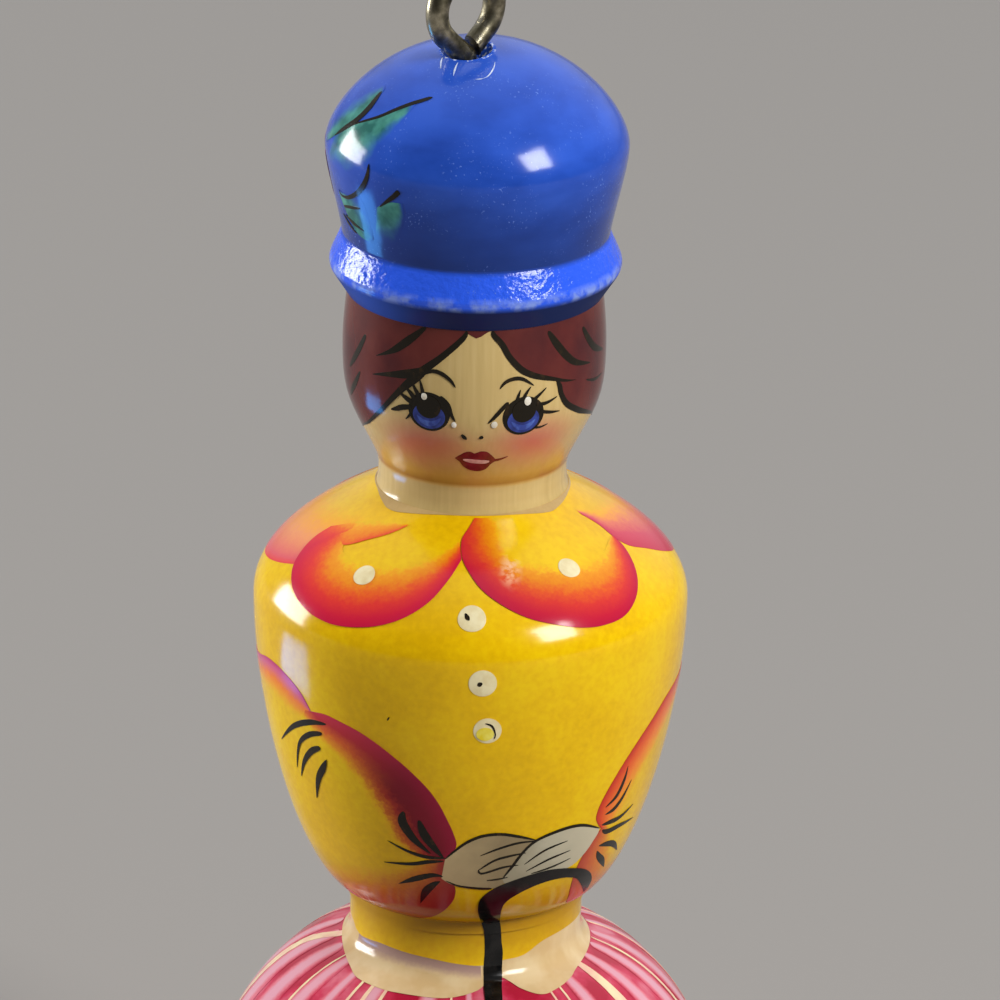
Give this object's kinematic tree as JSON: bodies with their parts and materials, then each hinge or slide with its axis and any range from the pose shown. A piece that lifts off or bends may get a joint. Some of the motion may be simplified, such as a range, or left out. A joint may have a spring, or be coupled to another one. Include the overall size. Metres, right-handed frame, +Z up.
{
  "type": "hanging wooden doll ornament",
  "caption": "Turned and painted wooden lady doll in the matryoshka style, with a hat, a swelling torso, a bell skirt and a wire screw eye on top to hang it by.",
  "frame": {"origin": "centre of the flat base", "axes": "+Z up along the turning axis, -Y the way the face looks, +X to the right as seen from the front"},
  "size_m": [0.045, 0.045, 0.1116],
  "materials": {
    "eye_wire": "dull plated wire, bright where it is worn",
    "blue_lacquer": "blue paint under glossy lacquer",
    "varnished_wood": "bare pale wood under glossy lacquer",
    "yellow_lacquer": "yellow paint under glossy lacquer",
    "red_lacquer": "red paint under glossy lacquer",
    "dowel_wood": "plain beech"
  },
  "bodies": {
    "doll": {"hat": "blue_lacquer", "head": "varnished_wood", "torso": "yellow_lacquer", "skirt": "red_lacquer", "hat_dowel": "dowel_wood", "neck_dowel": "dowel_wood", "waist_dowel": "dowel_wood"},
    "eye": {"screw_eye": "eye_wire"}
  },
  "joints": [
    {"name": "eye_turn", "type": "hinge", "parent": "doll", "child": "eye", "pos_m": [-0.001, -0.0015, 0.105], "axis": [0, 0, 1], "range_deg": [-90, 90]}
  ]
}
